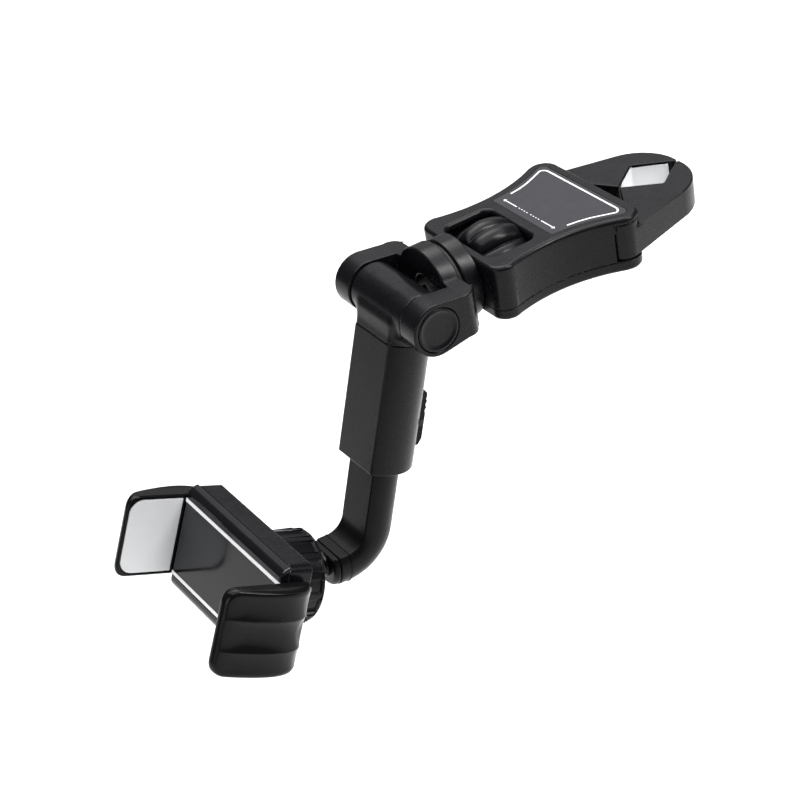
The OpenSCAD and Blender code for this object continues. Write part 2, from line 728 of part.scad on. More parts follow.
module cradle_screws() {
    color([0.5, 0.5, 0.52]) cradle_frame() for (i = [-1, 1], j = [-1, 1])
        translate([i * boss_x, j * boss_y, 0]) {
        slab(-case_z + 0.5, -1.3) circle(1.1);
        difference() {
            slab(-case_z + 0.2, -case_z + 1.4) circle(2);
            translate([-1.3, -0.3, -case_z - 1]) cube([2.6, 0.6, 1.7]);
        }
    }
}
// Right clamp arm: inner plane at +x, rail with rack running back into the housing
module clamp_arm() {
    difference() {
        union() {
            // gripping plate seen from the end of the phone
            translate([0, grip_y, 0]) rotate([90, 0, 0]) linear_extrude(2 * grip_y)
                translate([grip_x, 0]) polygon([[0, -9.4], [1.5, -9.4], [4.2, -8.2], [6.2, -5.8],
                    [7.2, -2.5], [7.4, 1], [7, 5], [6, 10], [4.8, 14.5], [3.8, 17.4], [2.8, 19],
                    [1.6, grip_z], [0.6, grip_z], [0, grip_z - 0.7]]);
            // rail
            translate([-19, -rail_y, rail_z]) cube([grip_x + 20, rail_y - rail_in, rail_t]);
            translate([0, 0, rail_z]) linear_extrude(rail_t) for (i = [-5:1])
                translate([i * tooth_p, 0])
                    polygon([[-1, -rail_in - 0.1], [-0.35, -4.25], [0.35, -4.25], [1, -rail_in - 0.1]]);
            // spring lug
            translate([lug_x - 1, -spring_y - 1, rail_z]) cube([2, spring_y + 1.1 - rail_y, rail_t]);
        }
        // corners of the plate rounded at its outer end
        for (s = [-1, 1]) translate([grip_x + 3, s * (grip_y - 4.5), grip_z - 4.5]) rotate([0, 90, 0])
            difference() {
                translate([-5, s > 0 ? 0 : -5, -6]) cube([5, 5, 12]);
                cylinder(r = 4.5, h = 20, center = true);
            }
        // finger scallops on the outside
        for (c = [[-9.6, 0.5], [0, 0.9], [9.6, 0.5]]) translate([grip_x + 7.4 - c[1] + 15, c[0], 0])
            cylinder(r = 15, h = 80, center = true, $fn = 120);
        translate([grip_x, 0, 0]) pad_block(0.6);
    }
}
module pad_block(o = 0) {
    translate([-o, 0, 0]) rotate([90, 0, 90]) linear_extrude(1.2 + o) {
        translate([-12.2, 0.4]) square([24.4, 13]);
        translate([-7.7, 0.4]) square([15.4, 17.6]);
        for (s = [-1, 1]) translate([s * 7.7, 13.5]) circle(4.5);
    }
}
module clamp_arm_right() { color([0.055, 0.055, 0.06]) cradle_frame() clamp_arm(); }
module clamp_arm_left() { color([0.055, 0.055, 0.06]) cradle_frame() rotate([0, 0, 180]) clamp_arm(); }
module clamp_pad_right() { color([0.78, 0.79, 0.8]) cradle_frame() translate([grip_x, 0, 0]) pad_block(); }
module clamp_pad_left() {
    color([0.78, 0.79, 0.8]) cradle_frame() rotate([0, 0, 180]) translate([grip_x, 0, 0]) pad_block();
}
module sync_pinion() {
    color([0.85, 0.85, 0.82]) cradle_frame() translate([0, 0, rail_z + 0.1]) linear_extrude(rail_t - 0.2)
        difference() {
            union() {
                circle(gear_r - 1.1);
                for (i = [0:gear_n - 1]) rotate(i * 360 / gear_n)
                    polygon([[gear_r - 1.6, -0.95], [gear_r - 1, -0.85], [gear_r, -0.6],
                             [gear_r + 0.75, -0.3], [gear_r + 0.75, 0.3], [gear_r, 0.6],
                                 [gear_r - 1, 0.85], [gear_r - 1.6, 0.95]]);
            }
            circle(1.5);
        }
}
module return_springs() {
    color([0.65, 0.65, 0.67]) cradle_frame() for (s = [0, 180]) rotate([0, 0, s])
        translate([(post_x + lug_x) / 2, -spring_y, rail_z + rail_t / 2]) rotate([0, 90, 0])
            coil(0.95, 1.45, lug_x - post_x - 3, 14);
}

top_cover();
bottom_cover();
label_plate();
pivot_screws();
cover_screws();
swivel_neck();
swivel_bolt();
swivel_nut();
spring_washer();
swivel_ring();
thumbwheel();
wheel_insert();
lead_screw();
crosshead();
jaw_left();
jaw_right();
jaw_pad_left();
jaw_pad_right();
drive_pin_left();
drive_pin_right();
yoke();
hinge_bolt();
hinge_nut();
hinge_cap_left();
hinge_cap_right();
hinge_washers();
arm_head();
head_screw();
sleeve();
lock_lever();
brake_pad();
lever_pin();
lever_spring();
slide_arm();
arm_end_plug();
end_collar();
ball_stud();
ball_liner();
socket_cup();
ring_nut();
back_cover();
front_cover();
trim_strips();
cradle_screws();
clamp_arm_left();
clamp_arm_right();
clamp_pad_left();
clamp_pad_right();
sync_pinion();
return_springs();
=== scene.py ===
import json
import math

import bpy
import numpy as np
from mathutils import Matrix, Vector


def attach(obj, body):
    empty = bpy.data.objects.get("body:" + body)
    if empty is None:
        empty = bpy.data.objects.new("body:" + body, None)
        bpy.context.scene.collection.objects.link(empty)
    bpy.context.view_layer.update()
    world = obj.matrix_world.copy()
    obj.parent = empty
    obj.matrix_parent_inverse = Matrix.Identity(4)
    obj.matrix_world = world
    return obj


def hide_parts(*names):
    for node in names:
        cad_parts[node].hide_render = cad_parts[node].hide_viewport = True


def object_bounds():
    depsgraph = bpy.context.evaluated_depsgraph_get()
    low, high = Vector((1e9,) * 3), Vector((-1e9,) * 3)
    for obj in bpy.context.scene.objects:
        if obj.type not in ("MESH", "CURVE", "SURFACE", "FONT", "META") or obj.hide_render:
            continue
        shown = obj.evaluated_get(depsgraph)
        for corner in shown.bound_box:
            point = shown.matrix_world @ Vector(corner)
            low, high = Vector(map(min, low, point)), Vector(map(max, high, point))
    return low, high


MM = 0.001

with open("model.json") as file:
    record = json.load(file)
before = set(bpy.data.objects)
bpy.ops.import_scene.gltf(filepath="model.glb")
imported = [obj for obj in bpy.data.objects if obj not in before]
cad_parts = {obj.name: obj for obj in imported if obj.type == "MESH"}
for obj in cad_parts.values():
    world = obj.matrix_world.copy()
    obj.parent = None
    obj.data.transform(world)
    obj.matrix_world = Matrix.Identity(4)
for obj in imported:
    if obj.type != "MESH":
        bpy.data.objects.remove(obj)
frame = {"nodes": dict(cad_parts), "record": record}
cad_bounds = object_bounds()
nodes = frame["nodes"]
scene = bpy.context.scene
scene.view_settings.view_transform = "Standard"

# ---- camera, at the photograph's viewing angle ----
CAM_AT = Vector((-345.7, -485.5, 321.9)) * MM
CAM_AZ, CAM_EL, CAM_ROLL = (math.radians(a) for a in (-27.07, 32.97, -10.54))
CAM_LENS = 98.31


def add_camera():
    flat = math.cos(CAM_EL)
    back = Vector((math.sin(CAM_AZ) * flat, -math.cos(CAM_AZ) * flat, math.sin(CAM_EL)))
    level = Vector((math.cos(CAM_AZ), math.sin(CAM_AZ), 0))
    upright = back.cross(level)
    right = level * math.cos(CAM_ROLL) + upright * math.sin(CAM_ROLL)
    up = back.cross(right)
    camera = bpy.data.objects.new("camera", bpy.data.cameras.new("camera"))
    camera.data.lens = CAM_LENS
    camera.data.sensor_width = 36
    camera.data.clip_start = 0.01
    camera.matrix_world = Matrix.Translation(CAM_AT) @ Matrix((right, up, back)).transposed().to_4x4()
    scene.collection.objects.link(camera)
    scene.camera = camera


# ---- studio, in metres and watts ----
WORLD_LIGHT, FLOOR_DROP, FLOOR_HALF = 0.09, 0.22, 2.2


def area_light(name, at, aim, size, power, size_y=None):
    light = bpy.data.lights.new(name, "AREA")
    light.shape = "RECTANGLE"
    light.size = size
    light.size_y = size_y or size
    light.energy = power
    obj = bpy.data.objects.new(name, light)
    obj.location = at
    obj.rotation_euler = (Vector(aim) - Vector(at)).to_track_quat("-Z", "Y").to_euler()
    scene.collection.objects.link(obj)


def add_studio():
    world = bpy.data.worlds.new("studio")
    scene.world = world
    world.use_nodes = True
    tree = world.node_tree
    background = tree.nodes["Background"]
    background.inputs["Color"].default_value = (1, 1, 1, 1)
    # a white backdrop that lights the object only a little
    seen = tree.nodes.new("ShaderNodeLightPath").outputs["Is Camera Ray"]
    strength = tree.nodes.new("ShaderNodeMapRange")
    strength.inputs["To Min"].default_value = WORLD_LIGHT
    strength.inputs["To Max"].default_value = 1.0
    tree.links.new(seen, strength.inputs["Value"])
    tree.links.new(strength.outputs["Result"], background.inputs["Strength"])
    middle = (-0.08, 0, -0.03)
    area_light("back_softbox", (0.34, 0.68, 0.48), middle, 0.8, 1.4)
    area_light("floor_softbox", (0.15, 0.52, 0.9), (0.15, 0.5, -0.3), 0.6, 5)
    area_light("ceiling", (0.3, 0.6, 3.0), (0.3, 0.6, 0), 4.5, 190)
    area_light("front_strip", (0.42, -0.55, 0.78), middle, 0.1, 8, 0.6)
    area_light("left_softbox", (-0.95, -0.25, 0.15), middle, 0.45, 1.6)
    area_light("right_strip", (0.75, -0.45, 0.1), middle, 0.14, 0.8, 0.8)
    floor_z = cad_bounds[0][2] - FLOOR_DROP
    mesh = bpy.data.meshes.new("floor")
    corners = [(x * FLOOR_HALF, y * FLOOR_HALF, floor_z) for x, y in ((-1, -1), (1, -1), (1, 1), (-1, 1))]
    mesh.from_pydata(corners, [], [(0, 1, 2, 3)])
    floor = bpy.data.objects.new("floor", mesh)
    scene.collection.objects.link(floor)
    m = bpy.data.materials.new("pale_floor")
    m.use_nodes = True
    shader = m.node_tree.nodes["Principled BSDF"]
    shader.inputs["Base Color"].default_value = (0.93, 0.93, 0.93, 1)
    shader.inputs["Roughness"].default_value = 0.9
    mesh.materials.append(m)


# ---- materials ----
DRIFT_SIZE, SMUDGE_SIZE, GRAIN_DEPTH, WEAR_RADIUS = 14, 5, 0.02, 0.35  # millimetres


def material(name, colour, rough, rough_var=0.05, grain=0.14, grain_size=0.35, tone=0.12, wear=0.2,
             wear_colour=None, metallic=0.0, specular=0.5, brushed=None):
    """Moulded or machined surface: tone drift, uneven gloss, fine grain, and rubbed edges.
    grain_size is in millimetres; brushed stretches the grain along one axis."""
    m = bpy.data.materials.new(name)
    m.use_nodes = True
    tree = m.node_tree
    shader = tree.nodes["Principled BSDF"]
    new, link = tree.nodes.new, tree.links.new
    coords = new("ShaderNodeTexCoord").outputs["Object"]

    def noise(size_mm, detail, source):
        n = new("ShaderNodeTexNoise")
        n.inputs["Scale"].default_value = 1000 / size_mm
        n.inputs["Detail"].default_value = detail
        link(source, n.inputs["Vector"])
        return n.outputs["Fac"]

    def remap(source, low, high, start=0.3, stop=0.7):
        r = new("ShaderNodeMapRange")
        r.inputs["From Min"].default_value = start
        r.inputs["From Max"].default_value = stop
        r.inputs["To Min"].default_value = low
        r.inputs["To Max"].default_value = high
        link(source, r.inputs["Value"])
        return r.outputs["Result"]

    grain_coords = coords
    if brushed:
        mapping = new("ShaderNodeMapping")
        mapping.inputs["Scale"].default_value = brushed
        link(coords, mapping.inputs["Vector"])
        grain_coords = mapping.outputs["Vector"]
    drift = noise(DRIFT_SIZE, 3, coords)
    smudge = noise(SMUDGE_SIZE, 5, coords)
    fine = noise(grain_size, 2, grain_coords)
    # rubbed edges: where a rounded normal differs from the true one
    soft = new("ShaderNodeBevel")
    soft.samples = 4
    soft.inputs["Radius"].default_value = WEAR_RADIUS * MM
    true = new("ShaderNodeNewGeometry")
    dot = new("ShaderNodeVectorMath")
    dot.operation = "DOT_PRODUCT"
    link(soft.outputs["Normal"], dot.inputs[0])
    link(true.outputs["Normal"], dot.inputs[1])
    edge = remap(dot.outputs["Value"], wear, 0.0, 0.75, 0.98)
    broken = new("ShaderNodeMath")
    broken.operation = "MULTIPLY"
    link(edge, broken.inputs[0])
    link(remap(smudge, 0.2, 1.0), broken.inputs[1])

    base = new("ShaderNodeMix")
    base.data_type = "RGBA"
    base.inputs["A"].default_value = (*[c * (1 - tone) for c in colour], 1)
    base.inputs["B"].default_value = (*[min(1, c * (1 + tone)) for c in colour], 1)
    link(drift, base.inputs["Factor"])
    worn = new("ShaderNodeMix")
    worn.data_type = "RGBA"
    link(broken.outputs[0], worn.inputs["Factor"])
    link(base.outputs["Result"], worn.inputs["A"])
    worn.inputs["B"].default_value = (*(wear_colour or [min(1, c * 3 + 0.01) for c in colour]), 1)
    link(worn.outputs["Result"], shader.inputs["Base Color"])

    gloss = new("ShaderNodeMath")
    gloss.operation = "ADD"
    link(remap(smudge, rough - rough_var, rough + rough_var), gloss.inputs[0])
    link(remap(fine, -0.03, 0.03), gloss.inputs[1])
    link(gloss.outputs[0], shader.inputs["Roughness"])

    bump = new("ShaderNodeBump")
    bump.inputs["Strength"].default_value = grain
    bump.inputs["Distance"].default_value = GRAIN_DEPTH * MM
    link(fine, bump.inputs["Height"])
    link(bump.outputs["Normal"], shader.inputs["Normal"])
    shader.inputs["Metallic"].default_value = metallic
    shader.inputs["Specular IOR Level"].default_value = specular
    return m


MATERIALS = {
    # the record's slots
    "black_plastic": material("satin_black_abs", (0.0045, 0.0045, 0.0057), 0.28, specular=0.16),
    "gloss_black": material("gloss_black_abs", (0.005, 0.005, 0.0064), 0.12, rough_var=0.03, grain=0.05,
                            wear=0.15, specular=0.36),
    "label_grey": material("label_foil", (0.026, 0.025, 0.030), 0.5, tone=0.06, grain=0.2, grain_size=0.5,
                           wear=0.1, specular=0.2),
    "grey_rubber": material("grey_rubber", (0.70, 0.71, 0.72), 0.7, tone=0.06, grain=0.35, grain_size=0.3,
                            wear=0.15, wear_colour=(0.8, 0.8, 0.8)),
    "black_rubber": material("black_rubber", (0.018, 0.018, 0.018), 0.7, tone=0.2, grain=0.4,
                             grain_size=0.25),
    "steel": material("zinc_steel", (0.55, 0.55, 0.57), 0.3, metallic=1.0, tone=0.1, brushed=(1, 1, 8),
                      wear_colour=(0.75, 0.75, 0.77)),
    "brass": material("brass", (0.75, 0.56, 0.25), 0.28, metallic=1.0, tone=0.12,
                      wear_colour=(0.9, 0.75, 0.45)),
    "nylon": material("nylon", (0.72, 0.72, 0.68), 0.45, tone=0.05, grain=0.2),
    "silver_trim": material("silver_trim", (0.9, 0.9, 0.92), 0.35, metallic=0.15, tone=0.05,
                            brushed=(8, 1, 1), grain=0.15, wear_colour=(0.9, 0.9, 0.92)),
    # shades of them
    "clamp_black": material("clamp_arm_abs", (0.004, 0.004, 0.0045), 0.2, rough_var=0.04, grain=0.06,
                            wear=0.12, specular=0.14),
    "arm_black": material("sliding_arm_abs", (0.003, 0.003, 0.0036), 0.32, specular=0.11),
    "black_steel": material("black_oxide_steel", (0.03, 0.03, 0.032), 0.35, metallic=1.0, tone=0.2,
                            wear_colour=(0.12, 0.12, 0.125)),
    "print_white": material("printed_line", (0.8, 0.8, 0.8), 0.5, tone=0.03, wear=0.0),
}
# CAD nodes that look a little different from their slot
LOOK_OF = dict.fromkeys(("ball_stud", "swivel_bolt", "swivel_nut", "lever_pin", "hinge_bolt", "hinge_nut"),
                        "black_steel")
LOOK_OF.update(slide_arm="arm_black", end_collar="arm_black", lock_lever="arm_black",
               ball_liner="black_rubber")
SLOT_OF = {s["node"]: s["material_slot"] for s in frame["record"]["subparts"]}


# ---- solids from distance fields, in millimetres ----
def both(a, b, r=0.0):
    """Intersection of two fields with its edge rounded to radius r."""
    if not r:
        return np.maximum(a, b)
    return np.minimum(np.maximum(a, b), -r) + np.hypot(np.maximum(a + r, 0), np.maximum(b + r, 0))


def either(a, b, r=0.0):
    """Union of two fields with its corner filled to radius r."""
    if not r:
        return np.minimum(a, b)
    return np.maximum(np.minimum(a, b), r) - np.hypot(np.maximum(r - a, 0), np.maximum(r - b, 0))


def without(a, b, r=0.0):
    return both(a, -b, r)


def rounded_rect(x, y, half_x, half_y, r):
    qx, qy = np.abs(x) - half_x + r, np.abs(y) - half_y + r
    return np.hypot(np.maximum(qx, 0), np.maximum(qy, 0)) + np.minimum(np.maximum(qx, qy), 0) - r


def polygon_field(x, y, points):
    """Signed distance to a closed polygon, negative inside."""
    best = np.full(np.shape(x), 1e9)
    inside = np.zeros(np.shape(x), bool)
    for (ax, ay), (bx, by) in zip(points, points[1:] + points[:1]):
        ex, ey = bx - ax, by - ay
        wx, wy = x - ax, y - ay
        t = np.clip((wx * ex + wy * ey) / (ex * ex + ey * ey), 0, 1)
        best = np.minimum(best, (wx - t * ex) ** 2 + (wy - t * ey) ** 2)
        crosses = (ay > y) != (by > y)
        side = wx - ex * wy / (ey if ey else 1e-9)
        inside ^= crosses & (side < 0)
    return np.where(inside, -1, 1) * np.sqrt(best)


def surface_net(field, low, high, step):
    """Vertices, normals and quads of the surface where the field is zero."""
    count = [int(math.ceil((h - l) / step)) + 1 for l, h in zip(low, high)]
    axes = [l + step * np.arange(n) for l, n in zip(low, count)]
    grid = np.meshgrid(*axes, indexing="ij")
    value = field(*grid)
    corners = [(i, j, k) for i in (0, 1) for j in (0, 1) for k in (0, 1)]

    def at(corner):
        return value[tuple(slice(c, n - 1 + c) for c, n in zip(corner, count))]

    inside_count = sum((at(c) < 0).astype(int) for c in corners)
    cells = np.argwhere((inside_count > 0) & (inside_count < 8))
    index = np.full([n - 1 for n in count], -1)
    index[tuple(cells.T)] = np.arange(len(cells))
    total = np.zeros((len(cells), 3))
    hits = np.zeros(len(cells))
    for a in corners:
        for axis in range(3):
            if a[axis]:
                continue
            b = tuple(1 if i == axis else c for i, c in enumerate(a))
            va = value[tuple((cells + a).T)]
            vb = value[tuple((cells + b).T)]
            cut = (va < 0) != (vb < 0)
            t = np.where(cut, va / np.where(cut, va - vb, 1), 0)
            point = np.array(a, float)[None] + t[:, None] * (np.array(b) - np.array(a))[None]
            total += point * cut[:, None]
            hits += cut
    points = np.array(low) + step * (cells + total / hits[:, None])

    def gradient(p):
        h = 0.02
        g = np.stack([field(*(p + h * e).T) - field(*(p - h * e).T) for e in np.eye(3)], 1) / (2 * h)
        return g / np.maximum(np.linalg.norm(g, axis=1, keepdims=True), 1e-6)

    for _ in range(3):
        move = -field(*points.T)[:, None] * gradient(points)
        points = points + np.clip(move, -step / 3, step / 3)
    faces = []
    for axis in range(3):
        u, v = (axis + 1) % 3, (axis + 2) % 3
        sl_a = tuple(slice(0, n - 1) if i == axis else slice(1, n - 1) for i, n in enumerate(count))
        sl_b = tuple(slice(1, n) if i == axis else slice(1, n - 1) for i, n in enumerate(count))
        a_in, b_in = value[sl_a] < 0, value[sl_b] < 0
        edges = np.argwhere(a_in != b_in)
        forward = a_in[tuple(edges.T)]
        base = edges.copy()
        base[:, u] += 1
        base[:, v] += 1
        ring = []
        for du, dv in ((1, 1), (0, 1), (0, 0), (1, 0)):
            cell = base.copy()
            cell[:, u] -= du
            cell[:, v] -= dv
            ring.append(index[tuple(cell.T)])
        quad = np.stack(ring, 1)
        quad[~forward] = quad[~forward][:, ::-1]
        faces.append(quad)
    return points, gradient(points), np.concatenate(faces)


# ---- frames, as in the part's own source (millimetres) ----
HINGE = (-92.5, 0, 0)
ARM_LEAN = math.radians(19.4)
FACE_TILT = math.radians(25.1)
PHONE_REST = next(m for m in frame["record"]["mounts"] if m["name"] == "phone_rest")
FACE_CENTRE = [c / MM for c in PHONE_REST["pos_m"]]


def axes_matrix(origin, x, y, z):
    m = Matrix((x, y, z)).transposed().to_4x4()
    m.translation = Vector(origin)
    return m


ARM = axes_matrix(HINGE, (-math.cos(ARM_LEAN), 0, math.sin(ARM_LEAN)), (0, 1, 0),
                  (-math.sin(ARM_LEAN), 0, -math.cos(ARM_LEAN)))
CRADLE = axes_matrix(FACE_CENTRE, (0, -1, 0), (math.sin(FACE_TILT), 0, math.cos(FACE_TILT)),
                     (-math.cos(FACE_TILT), 0, math.sin(FACE_TILT)))
HALF_TURN = Matrix.Rotation(math.pi, 4, "Z")
WORLD = Matrix.Identity(4)


def add_piece(name, parts, place, body, look, replaces=()):
    """parts: (points, normals or None, faces) in millimetres of the frame place."""
    points, normals, faces = [], [], []
    for part_points, part_normals, part_faces in parts:
        faces += [[i + len(points) for i in f] for f in part_faces]
        points += [place @ Vector(p) * MM for p in part_points]
        if part_normals is None:
            part_normals = [(0, 0, 0)] * len(part_points)
        turn = place.to_3x3()
        normals += [tuple(turn @ Vector(n)) for n in part_normals]
    mesh = bpy.data.meshes.new(name)
    mesh.from_pydata(points, [], faces)
    mesh.validate()
    mesh.polygons.foreach_set("use_smooth", [True] * len(mesh.polygons))
    if any(p[1] is not None for p in parts):
        mesh.normals_split_custom_set_from_vertices(normals)
    mesh.materials.append(MATERIALS[look])
    obj = bpy.data.objects.new(name, mesh)
    scene.collection.objects.link(obj)
    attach(obj, body)
    if replaces:
        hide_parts(*replaces)
    return obj


def solid(field, low, high, step=0.45):
    points, normals, faces = surface_net(field, low, high, step)
    return points.tolist(), normals.tolist(), faces.tolist()


def sharp(points, faces):
    """Give every flat face its own corners and normal, so that its edges stay sharp."""
    out_points, out_normals, out_faces = [], [], []
    for f in faces:
        ring = [Vector(points[i]) for i in f]
        normal = sum(((p - ring[0]).cross(q - ring[0]) for p, q in zip(ring, ring[1:] + ring[:1])), Vector())
        out_faces.append(list(range(len(out_points), len(out_points) + len(f))))
        out_points += [points[i] for i in f]
        out_normals += [tuple(normal.normalized())] * len(f)
    return out_points, out_normals, out_faces


def prism(outline, z0, z1):
    """Flat-sided bar."""
    n = len(outline)
    points = [(x, y, z0) for x, y in outline] + [(x, y, z1) for x, y in outline]
    ends = [list(range(n))[::-1], list(range(n, 2 * n))]
    return sharp(points, ends + [[i, (i + 1) % n, n + (i + 1) % n, n + i] for i in range(n)])


def lathe(profile, turns=96, shape=None):
    """Closed ring of (height, radius) points turned about X; shape(angle, i) scales a radius.

    The outer stretch of the ring runs along +X, which puts the faces outward.
    """
    points, faces = [], []
    n = len(profile)
    for j in range(turns):
        a = 2 * math.pi * j / turns
        for i, (x, r) in enumerate(profile):
            rr = r * (shape(a, i) if shape else 1)
            points.append((x, rr * math.cos(a), rr * math.sin(a)))
            here, following = j * n, (j + 1) % turns * n
            faces.append([following + i, following + (i + 1) % n, here + (i + 1) % n, here + i])
    return points, None, faces


# ---- clip body, as in the part's own source ----
HALF, SEAM, EDGE_R, LIP_R, TRIM_R = 8.9, -5.3, 1.3, 1.15, 0.12
REAR_X, FRONT_X = -70.5, -19.6
REAR_C, REAR_R = (REAR_X + 4.8, 15.9), 4.8
LOBE_C, LOBE_R = (FRONT_X - 5.3, 19.2), 5.3
WAIST_C, WAIST_R = (-50.1, 66.1), 47.8
WINDOW_X, WINDOW_HALF, WINDOW_R = -58.75, (8.25, 12.5), 3.0
NECK_R, NECK_END, FLANGE_X, FLANGE_HALF = 6.1, -68, -67.775, (0.875, 9.1, 6.3)
WALL, ROOF, REAR_IN, WALL_END = 1.9, 6.9, -69, -31.6
WALL_STOP, BOSS_CLEAR, JAW_ROOM, PIVOT_R, PIVOT_TOP = -29.6, 5.55, 4.3, 5.9, 7
WEB, WEB_HALF, BORE_R = (-50.5, -48.9), 17.2, 3.01
LABEL_INSET, LABEL_REAR, LABEL_FLOOR = 3.2, -46.8, 8.4
SCREWS, POST_R = ((-65.2, 15.7), (-45.5, 14.3)), 2.7
POCKET, HEAD_R, HEAD_Z, PIN_HEAD_R, PIN_HEAD_Z = (-45.9, -34.6), 2.3, -7.4, 3.55, -7


def outline_field(x, y):
    """Distance to the waisted outline of the clip body, negative inside."""
    y = np.abs(y)

    def beyond(centre, sign):
        # the sector of a corner: past the line to the waist's centre, and outward of the corner's own centre
        wx, wy = WAIST_C[0] - centre[0], WAIST_C[1] - centre[1]
        return ((y - centre[1]) * wx - (x - centre[0]) * wy) * sign > 0

    rear = (y > REAR_C[1]) & beyond(REAR_C, 1)
    front = (y > LOBE_C[1]) & beyond(LOBE_C, -1)
    straight = np.maximum(REAR_X - x, x - FRONT_X)
    waist = WAIST_R - np.hypot(x - WAIST_C[0], y - WAIST_C[1])
    d = np.maximum(straight, waist)
    d = np.where(rear, np.hypot(x - REAR_C[0], y - REAR_C[1]) - REAR_R, d)
    return np.where(front, np.hypot(x - LOBE_C[0], y - LOBE_C[1]) - LOBE_R, d)


def shell_field(x, y, z):
    """Both covers together: rounded edges, window with a soft lip, and the slot for the swivel neck."""
    out = outline_field(x, y)
    body = both(out, np.abs(z) - HALF, EDGE_R)
    window = rounded_rect(x - WINDOW_X, y, *WINDOW_HALF, WINDOW_R)
    body = without(body, window, LIP_R)
    flange = both(np.maximum(np.abs(y) - FLANGE_HALF[1], np.abs(z) - FLANGE_HALF[2]),
                  np.abs(x - FLANGE_X) - FLANGE_HALF[0])
    neck = both(np.hypot(y, z) - NECK_R, x - NECK_END)
    return np.maximum(body, -np.minimum(neck, flange)), out


def top_cover_field(x, y, z):
    body, out = shell_field(x, y, z)
    ay = np.abs(y)
    from_pivot = np.hypot(x - LOBE_C[0], ay - LOBE_C[1])
    inside = np.maximum.reduce([out + WALL, z - ROOF, REAR_IN - x, x - WALL_END])
    posts = np.minimum.reduce([np.hypot(x - a, ay - b) - POST_R for a, b in SCREWS])
    web = np.maximum.reduce([WEB[0] - x, x - WEB[1], ay - WEB_HALF])
    inside = np.maximum(inside, -np.minimum(posts, web))
    # the side wall runs on until it almost meets the round boss of the jaw
    wall = np.maximum.reduce([x - WALL_STOP, BOSS_CLEAR - from_pivot, -out - WALL])
    front = np.maximum.reduce([z - JAW_ROOM, WALL_END - x, -wall])
    pivot = np.maximum(from_pivot - PIVOT_R, z - PIVOT_TOP)
    label = np.maximum.reduce([out + LABEL_INSET, LABEL_REAR - x, LABEL_FLOOR - z])
    bore = np.maximum(np.hypot(y, z) - BORE_R, np.abs(x - sum(WEB) / 2) - 2)
    body = both(body, SEAM + 0.02 - z, TRIM_R)
    return without(body, np.minimum.reduce([inside, front, pivot, label, bore]), TRIM_R)


def bottom_cover_field(x, y, z):
    body, out = shell_field(x, y, z)
    ay = np.abs(y)
    from_pivot = np.hypot(x - LOBE_C[0], ay - LOBE_C[1])
    inside = np.maximum.reduce([out + WALL, -ROOF - z, POCKET[0] - x, x - POCKET[1]])
    heads = np.minimum.reduce([np.maximum(np.hypot(x - a, ay - b) - HEAD_R, z - HEAD_Z) for a, b in SCREWS])
    heads = np.minimum(heads, np.maximum(from_pivot - PIN_HEAD_R, z - PIN_HEAD_Z))
    body = both(body, z - SEAM + 0.02, TRIM_R)
    return without(body, np.minimum(inside, heads), 0.15)


def add_covers():
    top = solid(top_cover_field, (-71.2, -25.4, -5.9), (-18.9, 25.4, 9.6), 0.42)
    bottom = solid(bottom_cover_field, (-71.2, -25.4, -9.6), (-18.9, 25.4, -4.7))
    add_piece("top_cover_moulding", [top], WORLD, "clip", "black_plastic", ["top_cover"])
    add_piece("bottom_cover_moulding", [bottom], WORLD, "clip", "black_plastic", ["bottom_cover"])


# ---- front cover of the cradle ----
CASE_X, CASE_Y, COVER_T, STRIP_Y, STRIP_HALF, STRIP_DEPTH = 28.4, 17.4, 3, 12.1, 0.56, 0.26
BEVEL_U, BEVEL_N = 1.7, 2.9


def front_cover_field(x, u, n):
    au = np.abs(u)
    # bevel along the long edges
    slope = ((au - CASE_Y + BEVEL_U) * BEVEL_N + n * BEVEL_U) / math.hypot(BEVEL_U, BEVEL_N)
    body = both(both(n, slope, 1.3), au - CASE_Y, 0.5)
    body = both(body, np.abs(x) - CASE_X, 0.6)
    body = both(body, -COVER_T - n, 0.1)
    return without(body, np.maximum(np.abs(au - STRIP_Y) - STRIP_HALF, -STRIP_DEPTH - n), 0.05)


def add_front_cover():
    cover = solid(front_cover_field, (-29, -18, -3.6), (29, 18, 0.6), 0.4)
    add_piece("front_cover_moulding", [cover], CRADLE, "cradle", "gloss_black", ["front_cover"])


# ---- clamp arms ----
GRIP_X, GRIP_TOP, GRIP_BACK = 29.0, 19.6, -9.4
PLATE_HALF, PLATE_FLARE, PLATE_REACH, TOP_R, BACK_R = 13.35, 0.45, 4, 4.5, 1.2
PAD_HALF, PAD_MID, PAD_DEPTH = (12.32, 8.92), 9.2, 1.25
OUTER = [(1.5, -9.4), (4.2, -8.2), (6.2, -5.8), (7.2, -2.5), (7.4, 1), (7.0, 5), (6.0, 10), (4.8, 14.5),
         (3.8, 17.2), (2.6, 18.9), (1.4, 19.6)]


def smoothed(points, passes=2):
    """Open path with its corners cut, keeping both ends."""
    for _ in range(passes):
        cut = [points[0]]
        for a, b in zip(points, points[1:]):
            cut += [tuple((1 - t) * p + t * q for p, q in zip(a, b)) for t in (0.25, 0.75)]
        points = cut + [points[-1]]
    return points


OUTER_CURVE = [(-6, GRIP_BACK)] + smoothed(OUTER) + [(-6, GRIP_TOP)]
# finger hollows across the outer face: middle, half height and depth; they fade out towards the pad
HOLLOWS = ((-0.4, 4.9, 1.0), (8.9, 4.3, 0.6), (-9.6, 4.2, 0.6))
FADE_START, FADE_LENGTH = 2.6, 2.2


